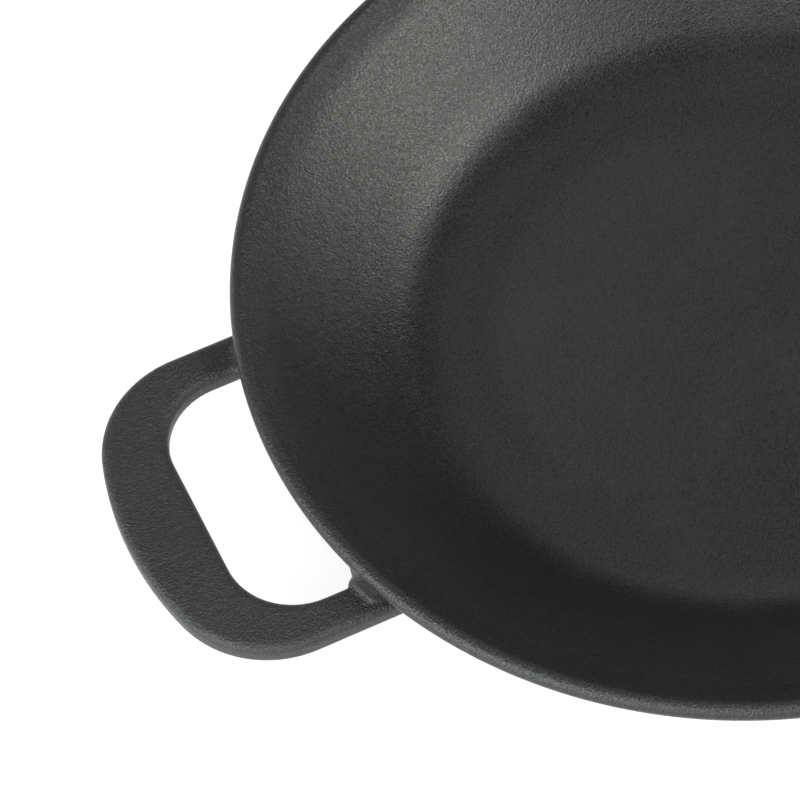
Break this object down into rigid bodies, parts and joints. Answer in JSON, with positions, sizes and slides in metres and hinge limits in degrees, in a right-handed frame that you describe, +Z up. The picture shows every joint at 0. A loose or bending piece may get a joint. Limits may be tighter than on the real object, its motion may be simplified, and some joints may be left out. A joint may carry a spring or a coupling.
{
  "type": "two-handled cast iron pan",
  "caption": "Shallow round cast iron cooking pan with a flared wall, a rounded rim and flat loop handles on opposite sides.",
  "frame": {"origin": "centre of the flat underside, on the surface that the pan stands on", "axes": "+Z up out of the bowl, X through the middles of both loop handles, the left handle at -X"},
  "size_m": [0.3934, 0.3, 0.037],
  "materials": {
    "pan_iron": "seasoned, fine sand-cast grain, satin",
    "handle_iron": "seasoned, fine sand-cast grain, satin"
  },
  "bodies": {
    "pan": {"pan_body": "pan_iron", "left_handle": "handle_iron", "right_handle": "handle_iron"}
  },
  "joints": []
}
